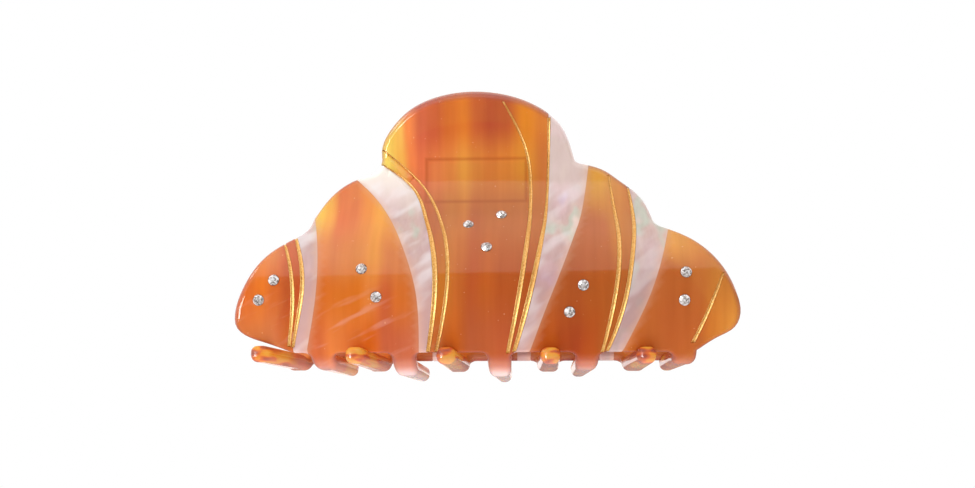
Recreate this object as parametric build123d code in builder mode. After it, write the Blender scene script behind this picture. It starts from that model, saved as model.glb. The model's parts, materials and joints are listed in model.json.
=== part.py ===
"""Claw clip for hair: two S-curved acetate jaws that swing on a sprung hinge pin.

Frame: +X along the clip, +Y from the front jaw to the rear jaw, +Z up towards the
squeeze levers. The origin is at the middle of the clip's foot, under its teeth.
Each jaw is drawn once in the (q, z) plane, where q is the distance from the middle
plane y = 0, and the front jaw is the mirror image of the rear one, apart from its teeth.
"""

import os
from math import asin, atan, cos, degrees, pi, radians, sin, sqrt

from build123d import *

# --- Sheet and the jaw's S-shaped section (q, z) ---
SHEET = 3.4  # thickness of the acetate sheet
NECK_Q, NECK_Z = 9.0, 43.0  # where the outer faces of the jaws come closest
BELLY_Q, BELLY_Z = 19.5, 16.8  # where they bulge furthest
LEVER_R = 27.0  # outward flare of the squeeze lever
LEVER_SWEEP = 48.0  # runs past the top of the outline, which trims it
BELLY_R = 24.0  # the belly under its widest place
EDGE_Z = 2.6  # outer edge of the sheet between the teeth
FOOT_Z = -1.5  # undersides of the teeth, moved to z = 0 at the end
FLANK = NECK_Z - BELLY_Z
FLANK_R = (FLANK**2 + (BELLY_Q - NECK_Q) ** 2) / (4 * (BELLY_Q - NECK_Q))
FLANK_SWEEP = 2 * degrees(atan((BELLY_Q - NECK_Q) / FLANK))
EDGE_SWEEP = degrees(asin((BELLY_Z - EDGE_Z) / BELLY_R))
TOOTH_R = (EDGE_Z - FOOT_Z) / (1 - (BELLY_Z - EDGE_Z) / BELLY_R)  # bends a tooth down to FOOT_Z

# --- Teeth ---
FRONT_TEETH_X = (-35.2, -18.0, 2.2, 20.6, 40.7)
REAR_TEETH_X = (-45.4, -26.6, -8.2, 12.4, 32.0)
TOOTH_REACH = (19.0, 21.0, 22.0, 21.0, 19.0)  # how far each passes the middle plane
FRONT_TEETH_LEAN = (-2.2, -1.6, -1.0, 0.0, 0.0)  # how far along x each tip sits from its root
REAR_TEETH_LEAN = (-2.2, -1.3, -0.6, 0.5, 0.6)
TOOTH_ROOT, TOOTH_TIP = 5.8, 4.2  # widths
TOOTH_CORNER = 1.6
TOOTH_ROOT_Q = 19.0  # the plan outline of a tooth starts here, inside the belly

# --- Hinge ---
HINGE_X, HINGE_Z = -3.0, 41.3
BLOCK_WIDTH, BLOCK_HEIGHT = 22.0, 9.8
BLOCK_CORNER = 1.0
BLOCK_FACE_Q = 3.5  # the block's face towards the pin
BLOCK_BACK_Q = 9.5  # inside the sheet, which trims the block's back
KNUCKLE_R = 2.9
KNUCKLE_WIDTH = 3.3
KNUCKLE_GAP = 0.2  # along the pin, between a front and a rear knuckle
PIN_R = 1.0
PIN_HEAD_R, PIN_HEAD = 1.6, 0.5
RUNNING_GAP = 0.05  # around the pin in the rear knuckles
WIRE_R = 0.42
COIL_R = 1.85  # to the middle of the wire
COIL_PITCH = 1.1
COIL_WHOLE_TURNS = 5
LEG_LENGTH = 4.3
LEG_LEAN = 17.0  # each spring leg leans out until it lies against its block's face

# --- Engraved gold lines and crystals ---
GROOVE_DEPTH, GOLD_RECESS = 0.45, 0.15
STONE_R, STONE_DEPTH, STONE_CROWN, STONE_TABLE_R = 1.15, 0.7, 0.35, 0.65
SEAT_GAP = 0.04

BIG = 40.0  # half length of a cutting prism
MIDDLE_X = -0.565  # middle of the outline as drawn below, moved to x = 0 at the end

# The outline of a jaw seen along Y, as arcs (from, through, to) in (x, z).
OUTLINE_ARCS = (
    ((-46.5, 5.0), (-52.1, 7.7), (-53.2, 13.4)),
    ((-53.2, 13.4), (-48.6, 22.4), (-40.4, 28.7)),
    ((-38.6, 31.2), (-35.2, 38.4), (-26.4, 42.9)),
    ((-23.4, 45.0), (-23.7, 48.6), (-22.1, 53.5)),
    ((-22.1, 53.5), (-14.0, 58.9), (-3.0, 60.3)),
    ((-3.0, 60.3), (9.0, 58.0), (16.2, 52.4)),
    ((16.2, 52.4), (17.7, 49.2), (18.6, 45.9)),
    ((20.3, 44.9), (29.8, 40.4), (35.0, 32.4)),
    ((36.9, 30.2), (46.6, 23.2), (51.9, 13.2)),
    ((51.9, 13.2), (51.2, 7.8), (46.5, 5.5)),
)
OUTLINE_FOOT = ((42.9, 3.0), (42.9, -2.0), (-41.5, -2.0), (-41.5, 3.0))

# Seams between the sheet's strips, from the top down, in (x, z).
SEAMS = (
    ((-41.4, 30.5), (-39.4, 24.0), (-38.7, 17.0), (-39.7, 9.9), (-41.1, 4.0)),
    ((-38.2, 36.0), (-36.2, 28.1), (-35.5, 21.0), (-36.4, 11.0), (-38.1, 4.0)),
    ((-31.8, 44.5), (-25.9, 38.6), (-18.6, 27.6), (-15.0, 15.8), (-14.6, 4.0)),
    ((-25.5, 46.0), (-19.9, 42.6), (-14.1, 33.7), (-10.9, 18.5), (-12.8, 3.4)),
    ((13.0, 57.5), (13.0, 48.0), (11.4, 27.6), (8.2, 12.6), (5.3, 3.4)),
    ((22.0, 47.0), (20.8, 37.5), (17.8, 25.2), (13.3, 13.6), (8.9, 3.4)),
    ((29.6, 42.0), (30.9, 33.0), (30.1, 22.9), (28.1, 12.5), (24.5, 3.2)),
    ((38.7, 32.0), (36.6, 23.9), (33.0, 13.5), (30.6, 8.5), (27.8, 3.2)),
)

# Engraved lines as (x, z, width), from the top down.
GOLD_LINES = (
    ((-43.7, 27.2, 0.4), (-41.9, 22.5, 0.7), (-40.7, 14.0, 0.8), (-41.9, 4.4, 0.7)),
    ((-41.0, 29.4, 0.5), (-39.4, 24.0, 0.8), (-38.7, 17.0, 0.9), (-39.7, 9.9, 0.8), (-41.1, 4.2, 0.6)),
    ((-23.9, 45.2, 0.3), (-19.9, 42.6, 0.5), (-14.1, 33.7, 0.8), (-10.9, 18.5, 1.1), (-12.7, 3.0, 0.8)),
    ((-23.7, 48.4, 0.3), (-16.3, 42.0, 0.5), (-10.4, 31.6, 0.7), (-8.3, 18.5, 0.8), (-11.0, 3.0, 0.7)),
    ((3.1, 57.9, 0.4), (8.0, 48.1, 0.6), (9.0, 38.0, 0.7), (7.2, 18.8, 1.0), (4.0, 2.9, 0.8)),
    ((13.1, 54.6, 0.4), (12.8, 42.4, 0.6), (11.4, 27.6, 0.9), (8.2, 12.6, 1.1), (5.3, 3.0, 0.8)),
    ((26.0, 42.3, 0.4), (27.3, 31.1, 0.7), (27.1, 19.5, 0.9), (25.3, 9.5, 0.8), (23.6, 2.9, 0.7)),
    ((30.1, 39.8, 0.4), (30.9, 33.0, 0.7), (30.1, 22.9, 0.9), (28.1, 12.5, 0.9), (24.6, 3.0, 0.7)),
    ((48.5, 19.1, 0.4), (46.5, 14.2, 0.7), (42.2, 4.9, 0.8)),
)

# Crystals in groups, one group to an amber strip, in (x, z).
CRYSTALS = (
    ((-47.9, 13.9), (-44.8, 18.1)),
    ((-26.4, 20.4), (-23.2, 14.4)),
    ((-4.4, 30.7), (2.6, 33.1), (-0.3, 25.1)),
    ((19.8, 16.6), (16.9, 11.1)),
    ((40.9, 19.2), (40.4, 13.4)),
)


def section_arcs(depth):
    """The (centre, radius, start angle, sweep) of each arc of the jaw's section,
    from the lever down to the edge, at a depth under the outer face."""
    return (
        ((NECK_Q + LEVER_R, NECK_Z), LEVER_R + depth, 180 - LEVER_SWEEP, LEVER_SWEEP),
        ((NECK_Q + FLANK_R, NECK_Z), FLANK_R + depth, 180, FLANK_SWEEP),
        ((BELLY_Q - FLANK_R, BELLY_Z), FLANK_R - depth, FLANK_SWEEP, -FLANK_SWEEP),
        ((BELLY_Q - BELLY_R, BELLY_Z), BELLY_R - depth, 0, -EDGE_SWEEP),
    )


def tooth_bend():
    """Centre of the bend that turns the belly into a level tooth."""
    toward = BELLY_R - TOOTH_R
    return (
        BELLY_Q - BELLY_R + toward * cos(radians(EDGE_SWEEP)),
        BELLY_Z - toward * sin(radians(EDGE_SWEEP)),
    )


def on_arc(arc, angle):
    centre, radius = arc[0], arc[1]
    return (
        centre[0] + radius * cos(radians(angle)),
        centre[1] + radius * sin(radians(angle)),
    )


def outer_face(z):
    """(q, tilt) of the outer face at a height: tilt is how far it leans upwards, in degrees."""
    if z >= NECK_Z:
        tilt = -asin((z - NECK_Z) / LEVER_R)
        return NECK_Q + LEVER_R * (1 - cos(tilt)), degrees(tilt)
    if z >= (NECK_Z + BELLY_Z) / 2:
        tilt = asin((NECK_Z - z) / FLANK_R)
        return NECK_Q + FLANK_R * (1 - cos(tilt)), degrees(tilt)
    radius = FLANK_R if z >= BELLY_Z else BELLY_R
    tilt = asin((z - BELLY_Z) / radius)
    return BELLY_Q - radius * (1 - cos(tilt)), degrees(tilt)


def band(outer, inner):
    """Wall of the jaw between two depths under its outer face, the full length of the clip."""
    with BuildPart() as wall:
        with BuildSketch(Plane.YZ):
            with BuildLine():
                sides = [section_arcs(outer), section_arcs(inner)]
                for arcs in sides:
                    for centre, radius, start, sweep in arcs:
                        CenterArc(centre, radius, start, sweep)
                Line(*[on_arc(arcs[0], arcs[0][2]) for arcs in sides])
                Line(*[on_arc(arcs[-1], -EDGE_SWEEP) for arcs in sides])
            make_face()
        extrude(amount=2 * BIG, both=True)
    return wall.part


def outline_prism():
    """The jaw's outline seen along Y, as a prism on the rear side of the middle plane."""
    with BuildPart() as prism:
        with BuildSketch(Plane.XZ):
            with BuildLine():
                for start, through, end in OUTLINE_ARCS:
                    ThreePointArc(start, through, end)
                for this, following in zip(OUTLINE_ARCS, OUTLINE_ARCS[1:]):
                    if this[2] != following[0]:
                        Line(this[2], following[0])
                Polyline(OUTLINE_ARCS[-1][2], *OUTLINE_FOOT, OUTLINE_ARCS[0][0])
            make_face()
        extrude(amount=-BIG)
    return prism.part


def tooth(x, lean, reach):
    """One tooth of the rear jaw: it bends under the hair and runs level past the middle plane."""
    bend_q, bend_z = tooth_bend()
    belly = ((BELLY_Q - BELLY_R, BELLY_Z), BELLY_R)
    tuck = 12.0  # degrees of belly arc that the tooth shares with the sheet
    with BuildPart() as one:
        with BuildSketch(Plane.YZ.offset(x)):
            with BuildLine():
                for depth in (0.0, SHEET):
                    arc = (belly[0], belly[1] - depth)
                    CenterArc(*arc, -EDGE_SWEEP + tuck, -tuck)
                    CenterArc((bend_q, bend_z), TOOTH_R - depth, -EDGE_SWEEP, EDGE_SWEEP - 90)
                    level = bend_z - TOOTH_R + depth
                    Line((bend_q, level), (-reach, level))
                Line(
                    on_arc((belly[0], belly[1]), tuck - EDGE_SWEEP),
                    on_arc((belly[0], belly[1] - SHEET), tuck - EDGE_SWEEP),
                )
                Line((-reach, bend_z - TOOTH_R), (-reach, bend_z - TOOTH_R + SHEET))
            make_face()
        extrude(amount=TOOTH_ROOT, both=True)
        with BuildSketch(Plane.XY.offset(-BIG)):
            with BuildLine():
                Polyline(
                    (x - TOOTH_ROOT / 2, TOOTH_ROOT_Q),
                    (x + lean - TOOTH_TIP / 2, -reach),
                    (x + lean + TOOTH_TIP / 2, -reach),
                    (x + TOOTH_ROOT / 2, TOOTH_ROOT_Q),
                    close=True,
                )
            plan = make_face()
            fillet(plan.vertices().group_by(Axis.Y)[0], TOOTH_CORNER)
        extrude(amount=2 * BIG, mode=Mode.INTERSECT)
    return one.part


def spline_prism(left, right, far):
    """A prism along Y between two curves that run from the top down."""
    with BuildPart() as prism:
        with BuildSketch(Plane.XZ):
            with BuildLine():
                for curve in (left, right):
                    Spline(*curve)
                Line(left[0], right[0])
                Line(left[-1], right[-1])
            make_face()
        extrude(amount=-far)
    return prism.part


def strip_prism(index):
    """The prism that cuts strip number index out of a jaw, between its two seams."""
    with BuildPart() as prism:
        with BuildSketch(Plane.XZ):
            with BuildLine():
                ends = []
                for side, seam in ((-1, index - 1), (1, index)):
                    if 0 <= seam < len(SEAMS):
                        curve = SEAMS[seam]
                        Spline(*curve)
                        top, foot = (curve[0][0], BIG * 2), (curve[-1][0], -BIG)
                        Line(top, curve[0])
                        Line(curve[-1], foot)
                    else:
                        top, foot = (side * 2 * BIG, BIG * 2), (side * 2 * BIG, -BIG)
                        Line(top, foot)
                    ends.append((top, foot))
                Line(ends[0][0], ends[1][0])
                Line(ends[0][1], ends[1][1])
            make_face()
        extrude(amount=BIG, both=True)
    return prism.part


def gold_prism(line):
    left = [(x - width / 2, z) for x, z, width in line]
    right = [(x + width / 2, z) for x, z, width in line]
    return spline_prism(left, right, BIG)


def stone_plane(x, z):
    """The plane on the rear jaw's outer face that a crystal sits on."""
    q, tilt = outer_face(z)
    lean = radians(tilt)
    return Plane(origin=(x, q, z), x_dir=(1, 0, 0), z_dir=(0, cos(lean), sin(lean)))


def crystal_group(places):
    with BuildPart() as group:
        for x, z in places:
            with BuildSketch(stone_plane(x, z).offset(-STONE_DEPTH)):
                Circle(STONE_R)
            extrude(amount=STONE_DEPTH)
            with BuildSketch(stone_plane(x, z)):
                Circle(STONE_R)
            with BuildSketch(stone_plane(x, z).offset(STONE_CROWN)):
                Circle(STONE_TABLE_R)
            loft()
    return group.part


def jaw_blank(teeth):
    """The whole rear-side jaw with its grooves and crystal seats, before it is parted into strips."""
    with BuildPart() as blank:
        add(band(0.0, SHEET))
        add(outline_prism(), mode=Mode.INTERSECT)
        for x, lean, reach in teeth:
            add(tooth(x, lean, reach))
        groove_layer = band(-1.0, GROOVE_DEPTH)
        for line in GOLD_LINES:
            add(gold_prism(line) & groove_layer, mode=Mode.SUBTRACT)
        for places in CRYSTALS:
            for x, z in places:
                with BuildSketch(stone_plane(x, z).offset(-STONE_DEPTH)):
                    Circle(STONE_R + SEAT_GAP)
                extrude(amount=2 * STONE_DEPTH, mode=Mode.SUBTRACT)
    return blank.part


def hinge_block(inset, bore_r):
    """A hinge block glued inside the rear jaw, with one knuckle set in from each of its ends."""
    left, right = HINGE_X - BLOCK_WIDTH / 2, HINGE_X + BLOCK_WIDTH / 2
    with BuildPart() as block:
        with BuildSketch(Plane.XZ.offset(-BLOCK_FACE_Q)):
            with Locations((HINGE_X, HINGE_Z)):
                RectangleRounded(BLOCK_WIDTH, BLOCK_HEIGHT, BLOCK_CORNER)
        extrude(amount=BLOCK_FACE_Q - BLOCK_BACK_Q)
        add(band(-3.0, SHEET), mode=Mode.SUBTRACT)
        for start in (left + inset, right - inset - KNUCKLE_WIDTH):
            with BuildSketch(Plane.YZ.offset(start)):
                with Locations((0, HINGE_Z)):
                    Circle(KNUCKLE_R)
                with Locations((BLOCK_FACE_Q / 2, HINGE_Z)):
                    Rectangle(BLOCK_FACE_Q, 2 * KNUCKLE_R)
            extrude(amount=KNUCKLE_WIDTH)
            with BuildSketch(Plane.YZ.offset(start)):
                with Locations((0, HINGE_Z)):
                    Circle(bore_r)
            extrude(amount=KNUCKLE_WIDTH, mode=Mode.SUBTRACT)
    return block.part


def torsion_spring():
    """A coil around the pin whose two straight legs stand up and push the levers apart."""
    sweep_angle = 180 - 2 * LEG_LEAN + 360 * COIL_WHOLE_TURNS
    length = COIL_PITCH * sweep_angle / 360
    rise = COIL_PITCH / (2 * pi)
    along = LEG_LENGTH / sqrt(COIL_R**2 + rise**2)
    drift, reach = along * rise, along * COIL_R
    end = radians(sweep_angle)
    with BuildPart() as coil:
        with BuildLine() as wire:
            Line((COIL_R, -reach, -drift), (COIL_R, 0, 0))
            Helix(COIL_PITCH, length, COIL_R)
            Line(
                (COIL_R * cos(end), COIL_R * sin(end), length),
                (
                    COIL_R * cos(end) - reach * sin(end),
                    COIL_R * sin(end) + reach * cos(end),
                    length + drift,
                ),
            )
        with BuildSketch(Plane(origin=wire.wire() @ 0, z_dir=wire.wire() % 0)):
            Circle(WIRE_R)
        sweep(path=wire.wire())
    start = radians(180 + LEG_LEAN)
    seat = Plane(
        origin=(HINGE_X - length / 2, 0, HINGE_Z),
        x_dir=(0, cos(start), sin(start)),
        z_dir=(1, 0, 0),
    )
    return coil.part.moved(seat.location)


def hinge_pin():
    """The pin, with a thin domed head outside each end knuckle."""
    half = BLOCK_WIDTH / 2
    with BuildPart() as pin:
        with BuildSketch(Plane.YZ.offset(HINGE_X - half)):
            with Locations((0, HINGE_Z)):
                Circle(PIN_R)
        extrude(amount=BLOCK_WIDTH)
        for start in (HINGE_X - half - PIN_HEAD, HINGE_X + half):
            with BuildSketch(Plane.YZ.offset(start)):
                with Locations((0, HINGE_Z)):
                    Circle(PIN_HEAD_R)
            extrude(amount=PIN_HEAD)
        rims = pin.edges().filter_by(GeomType.CIRCLE)
        ends = rims.group_by(Axis.X)
        fillet(ends[0] + ends[-1], 0.3)
    return pin.part


def write(part, name):
    placed = part.moved(Location((-MIDDLE_X, 0, -FOOT_Z)))
    placed.label = name
    export_step(placed, f"parts/{name}.step")


def side_of(part, front):
    """A part drawn on the rear side, moved to its own side of the middle plane."""
    return part.mirror(Plane.XZ) if front else part


os.makedirs("parts", exist_ok=True)

FRONT_TEETH = tuple(zip(FRONT_TEETH_X, FRONT_TEETH_LEAN, TOOTH_REACH))
REAR_TEETH = tuple(zip(REAR_TEETH_X, REAR_TEETH_LEAN, TOOTH_REACH))
for jaw, teeth in (("front", FRONT_TEETH), ("rear", REAR_TEETH)):
    is_front = jaw == "front"
    blank = jaw_blank(teeth)
    for index in range(len(SEAMS) + 1):
        pearl, number = index % 2 == 1, index // 2 + 1
        with BuildPart() as strip:
            add(blank)
            add(strip_prism(index), mode=Mode.INTERSECT)
        kind = "pearl_stripe" if pearl else "amber_panel"
        write(side_of(strip.part, is_front), f"{jaw}_{kind}_{number}")
    for number, line in enumerate(GOLD_LINES, 1):
        with BuildPart() as gold:
            add(gold_prism(line))
            add(band(GOLD_RECESS, GROOVE_DEPTH), mode=Mode.INTERSECT)
            add(outline_prism(), mode=Mode.INTERSECT)
        write(side_of(gold.part, is_front), f"{jaw}_gold_line_{number}")
    for number, places in enumerate(CRYSTALS, 1):
        write(side_of(crystal_group(places), is_front), f"{jaw}_crystals_{number}")

front_block = hinge_block(0.0, PIN_R)
rear_block = hinge_block(KNUCKLE_WIDTH + KNUCKLE_GAP, PIN_R + RUNNING_GAP)
write(side_of(front_block, True), "front_hinge_block")
write(side_of(rear_block, False), "rear_hinge_block")
write(hinge_pin(), "hinge_pin")
write(torsion_spring(), "torsion_spring")
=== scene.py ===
"""Claw clip: the looks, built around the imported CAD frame. Lengths in this file are in
millimetres in the drawing's own x and z, and become metres in the row frame when a mesh is made.

A jaw is drawn flat, in x and in s, the distance down its outer face from the top of the lever's arc. It
is then bent along its section, where q is the distance from the middle plane between the jaws."""

import json
import math

import bpy
import numpy as np
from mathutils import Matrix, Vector
from mathutils.geometry import delaunay_2d_cdt


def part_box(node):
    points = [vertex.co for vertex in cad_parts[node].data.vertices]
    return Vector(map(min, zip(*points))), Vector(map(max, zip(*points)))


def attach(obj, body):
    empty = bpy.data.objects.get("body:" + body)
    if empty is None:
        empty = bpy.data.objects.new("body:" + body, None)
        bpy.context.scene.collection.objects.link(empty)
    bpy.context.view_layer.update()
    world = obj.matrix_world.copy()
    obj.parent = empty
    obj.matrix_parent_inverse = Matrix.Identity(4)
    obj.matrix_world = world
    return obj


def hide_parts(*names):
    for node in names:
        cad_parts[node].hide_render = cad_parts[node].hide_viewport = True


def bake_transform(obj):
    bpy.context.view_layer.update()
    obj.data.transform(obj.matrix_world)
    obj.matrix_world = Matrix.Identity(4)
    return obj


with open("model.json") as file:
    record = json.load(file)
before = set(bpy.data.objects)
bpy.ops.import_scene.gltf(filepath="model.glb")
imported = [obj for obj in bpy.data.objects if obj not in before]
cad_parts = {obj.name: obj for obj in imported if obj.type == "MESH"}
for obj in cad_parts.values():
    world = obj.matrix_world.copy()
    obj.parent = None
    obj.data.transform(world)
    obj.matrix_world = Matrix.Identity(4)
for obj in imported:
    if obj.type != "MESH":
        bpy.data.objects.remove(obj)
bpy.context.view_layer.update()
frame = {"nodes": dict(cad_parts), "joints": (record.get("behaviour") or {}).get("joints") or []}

MM = 0.001
SHIFT_X, LIFT = 0.565, 1.5  # the drawing's origin in the row frame

# ---------------------------------------------------------------- the jaw's section
SHEET = 3.4  # thickness
NECK_Q, NECK_Z = 9.0, 43.0  # where the outer face is nearest the middle
BELLY_Q, BELLY_Z = 19.5, 16.8  # where it is widest
LEVER_R, LEVER_SWEEP = 27.0, math.radians(48)
BELLY_R, EDGE_Z = 24.0, 2.6  # EDGE_Z is the lower edge between the teeth
FLANK_R = ((NECK_Z - BELLY_Z) ** 2 + (BELLY_Q - NECK_Q) ** 2) / (4 * (BELLY_Q - NECK_Q))
FLANK_SWEEP = 2 * math.atan((BELLY_Q - NECK_Q) / (NECK_Z - BELLY_Z))
EDGE_SWEEP = math.asin((BELLY_Z - EDGE_Z) / BELLY_R)
TOOTH_R = (EDGE_Z + LIFT) / (1 - (BELLY_Z - EDGE_Z) / BELLY_R)
BEND_Q = BELLY_Q - BELLY_R + (BELLY_R - TOOTH_R) * math.cos(EDGE_SWEEP)
BEND_Z = BELLY_Z - (BELLY_R - TOOTH_R) * math.sin(EDGE_SWEEP)

# Each arc: centre q, centre z, radius, start angle, turn, and the side its centre is on.
ARCS = (
    (NECK_Q + LEVER_R, NECK_Z, LEVER_R, math.pi - LEVER_SWEEP, LEVER_SWEEP, 1),
    (NECK_Q + FLANK_R, NECK_Z, FLANK_R, math.pi, FLANK_SWEEP, 1),
    (BELLY_Q - FLANK_R, BELLY_Z, FLANK_R, FLANK_SWEEP, -FLANK_SWEEP, -1),
    (BELLY_Q - BELLY_R, BELLY_Z, BELLY_R, 0.0, -EDGE_SWEEP, -1),
    (BEND_Q, BEND_Z, TOOTH_R, -EDGE_SWEEP, EDGE_SWEEP - math.pi / 2, -1),
)
LENGTHS = [abs(arc[2] * arc[4]) for arc in ARCS]
STARTS = np.concatenate([[0.0], np.cumsum(LENGTHS)])
S_EDGE, S_FLAT = STARTS[4], STARTS[5]  # the lower edge, and where a tooth has become level


def section(s, depth):
    """q, z and the downward tangent at a distance s along the outer face and a depth below it."""
    s, depth = np.broadcast_arrays(np.asarray(s, float), np.asarray(depth, float))
    q, z = BEND_Q - (s - S_FLAT), depth - LIFT
    tangent = np.stack([-np.ones_like(s), np.zeros_like(s)], -1)
    for (cq, cz, radius, start, turn, side), s0, length in zip(ARCS, STARTS, LENGTHS):
        here = (s >= s0) & (s < s0 + length) if s0 else s < length
        angle = start + (s - s0) / length * turn
        reach = radius + side * depth
        cos, sin = np.cos(angle), np.sin(angle)
        q = np.where(here, cq + reach * cos, q)
        z = np.where(here, cz + reach * sin, z)
        down = np.stack([-side * sin, side * cos], -1)
        tangent = np.where(here[..., None], down, tangent)
    return q, z, tangent


FACE_S = np.linspace(0, S_FLAT, 2000)
FACE_Z = section(FACE_S, 0.0)[1]


def s_of(z):
    """Distance along the outer face of the point at height z."""
    return np.interp(-np.asarray(z, float), -FACE_Z, FACE_S)


# ---------------------------------------------------------------- the drawing
LOBES = (  # points along each lobe of the outline, from the lower left over the top
    (
        (-43.6, 3.5), (-47.6, 4.9), (-51.2, 6.3), (-53.1, 8.2), (-53.3, 10.6), (-51.6, 16.4), (-47.2, 23.8),
        (-41.2, 28.4),
    ),
    ((-38.5, 33.0), (-36.3, 37.0), (-31.9, 41.1), (-26.6, 43.3)),
    (
        (-24.1, 46.6), (-24.2, 48.6), (-21.9, 53.5), (-17.6, 57.3), (-10.7, 59.8), (-3.0, 60.5), (4.7, 59.6),
        (11.3, 57.2), (16.2, 53.0), (18.0, 48.6), (18.6, 46.4),
    ),
    ((20.4, 45.2), (24.4, 44.0), (28.6, 41.2), (33.0, 37.4), (35.1, 32.6)),
    (
        (36.9, 30.3), (42.4, 27.5), (48.0, 21.8), (51.5, 14.0), (52.0, 10.8), (50.9, 7.7), (47.5, 5.6),
        (44.6, 3.8),
    ),
)
NOTCHES = ((-38.9, 29.6), (-24.4, 43.9), (18.8, 45.4), (35.4, 31.0))  # between the lobes
# The lower edge's two ends, each beside the point that rounds its corner.
FOOT = ((43.6, 3.0), (42.6, EDGE_Z), (-40.8, EDGE_Z), (-42.0, 2.8))
SEAMS = (  # between an amber panel and a pearl stripe, from the top down
    ((-42.3, 30.5), (-39.8, 24.0), (-38.7, 17.0), (-39.7, 9.9), (-41.1, 4.0)),
    ((-39.0, 36.0), (-36.7, 28.1), (-35.7, 21.0), (-36.4, 11.0), (-38.1, 4.0)),
    ((-32.6, 44.5), (-26.4, 38.9), (-18.9, 27.3), (-15.0, 15.8), (-14.6, 3.0)),
    ((-25.5, 46.0), (-19.9, 42.6), (-14.1, 33.7), (-10.9, 18.5), (-12.8, 3.4)),
    ((13.0, 57.5), (13.0, 48.0), (11.4, 27.6), (8.2, 12.6), (5.3, 3.4)),
    ((22.0, 47.0), (20.5, 36.5), (18.1, 27.5), (14.6, 18.1), (12.1, 12.0), (8.4, 2.8)),
    ((29.6, 42.0), (30.9, 33.0), (30.1, 22.9), (28.1, 12.5), (24.5, 3.2)),
    ((38.7, 32.0), (36.6, 23.9), (33.0, 13.5), (30.6, 8.5), (27.8, 3.2)),
)
SOFT_SEAMS = (1, 2, 5, 7)  # the ones with no gold line along them
GOLD_LINES = (  # (x, z, width), from the top down
    ((-43.7, 27.2, 0.4), (-41.9, 22.5, 0.7), (-40.7, 14.0, 0.8), (-41.9, 4.4, 0.7)),
    ((-41.9, 29.4, 0.5), (-39.8, 24.0, 0.8), (-38.7, 17.0, 0.9), (-39.7, 9.9, 0.8), (-41.1, 4.2, 0.6)),
    ((-23.9, 45.2, 0.3), (-19.9, 42.6, 0.5), (-14.1, 33.7, 0.8), (-10.9, 18.5, 1.1), (-12.7, 3.1, 0.8)),
    ((-23.7, 48.4, 0.3), (-16.3, 42.0, 0.5), (-10.4, 31.6, 0.7), (-8.3, 18.5, 0.8), (-11.0, 3.1, 0.7)),
    ((3.1, 57.9, 0.4), (8.0, 48.1, 0.6), (9.0, 38.0, 0.7), (7.2, 18.8, 1.0), (4.0, 2.9, 0.8)),
    ((13.1, 54.6, 0.7), (12.8, 42.4, 0.5), (11.4, 27.6, 0.9), (8.2, 12.6, 1.1), (5.3, 3.1, 0.8)),
    ((26.0, 42.3, 0.4), (27.3, 31.1, 0.7), (27.1, 19.5, 0.9), (25.3, 9.5, 0.8), (23.6, 2.9, 0.7)),
    ((30.1, 39.8, 0.4), (30.9, 33.0, 0.7), (30.1, 22.9, 0.9), (28.1, 12.5, 0.9), (24.6, 3.1, 0.7)),
    ((48.5, 19.1, 0.4), (46.5, 14.2, 0.7), (42.2, 4.9, 0.8)),
)
CRYSTALS = (  # (x, z), one group to an amber panel
    ((-47.9, 13.9), (-44.8, 18.1)),
    ((-26.4, 20.4), (-23.2, 14.4)),
    ((-4.4, 30.7), (2.6, 33.1), (-0.3, 25.1)),
    ((19.8, 16.6), (16.9, 11.1)),
    ((40.9, 19.2), (40.4, 13.4)),
)
TEETH = {  # where each tooth leaves the edge, how far along x its tip sits from there, and its rise
    "front": ((-35.2, 0.6, 1.4), (-18.0, 0.3, 0.2), (2.2, -0.2, 0.0), (20.6, -0.9, 1.2), (40.7, -0.2, 2.5)),
    "rear": ((-45.4, -2.2, 2.6), (-26.6, -0.7, 2.1), (-8.2, -0.2, 1.9), (12.4, 0.5, 1.9), (32.0, 0.6, 2.1)),
}
TIP_HALF = {"front": 1.8, "rear": 1.95}  # half the width of a tooth at its tip
REACH = (19.0, 21.0, 22.0, 21.0, 19.0)  # how far each tooth passes the middle plane
ROOT_HALF, TIP_CORNER, ROOT_FILLET = 2.6, 1.5, 1.3
TUCK = 4.0  # how far a tooth reaches up into the body, where it has no fillets

MAX_LEAN = 0.55  # the steepest shaded slope of the flank, so that it doesn't mirror its own lever
EDGE_ROUND, INNER_ROUND = 1.5, 1.25  # radii of the rim, outside and inside
LEVER_EDGE = 2.2  # depth of the part of the lever's rim that is seen against the light
GROOVE, GROOVE_WALL = 0.4, 0.03
SEAT_R, SEAT_WALL, SEAT_DEPTH = 1.17, 0.03, 0.6

# How closely the points of the flat pattern are spaced.
STEP = 1.0  # along an outline
SEAM_POINTS, SEAM_OVERRUN = 50, 3
SEAT_SIDES = 24
RINGS = (0.1, 0.35, 0.75, 1.15, EDGE_ROUND)  # distances in from the rim
GRID_ROW, GRID_COLUMN, GRID_HALF = 1.0, 1.8, 55
GRID_FROM_RIM, GRID_FROM_LINES = 0.3, 0.4
RING_SHARE = 0.93  # of a ring's distance, which its points also keep from other stretches of the rim
SAME_POINT, DOUBLED = 1e-3, 0.05  # points closer than these are one, on the rim and in an outline
CHUNK = 500  # points compared with all others at a time

# Shares that the materials read at each point: bands along the rim and seams, and the way down a tooth.
EDGE_BAND = 1.2
TOOTH_SPAN = 1.6  # from the lower edge to the middle plane is 1


def unit(vectors):
    """The rows of an array at length 1."""
    return vectors / np.linalg.norm(vectors, axis=1, keepdims=True)


def bezier(a, b, c):
    """Five points along the curve from a to c that b pulls."""
    t = np.linspace(0, 1, 5)[:, None]
    a, b, c = (np.array(p, float) for p in (a, b, c))
    return (1 - t) ** 2 * a + 2 * t * (1 - t) * b + t**2 * c


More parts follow.
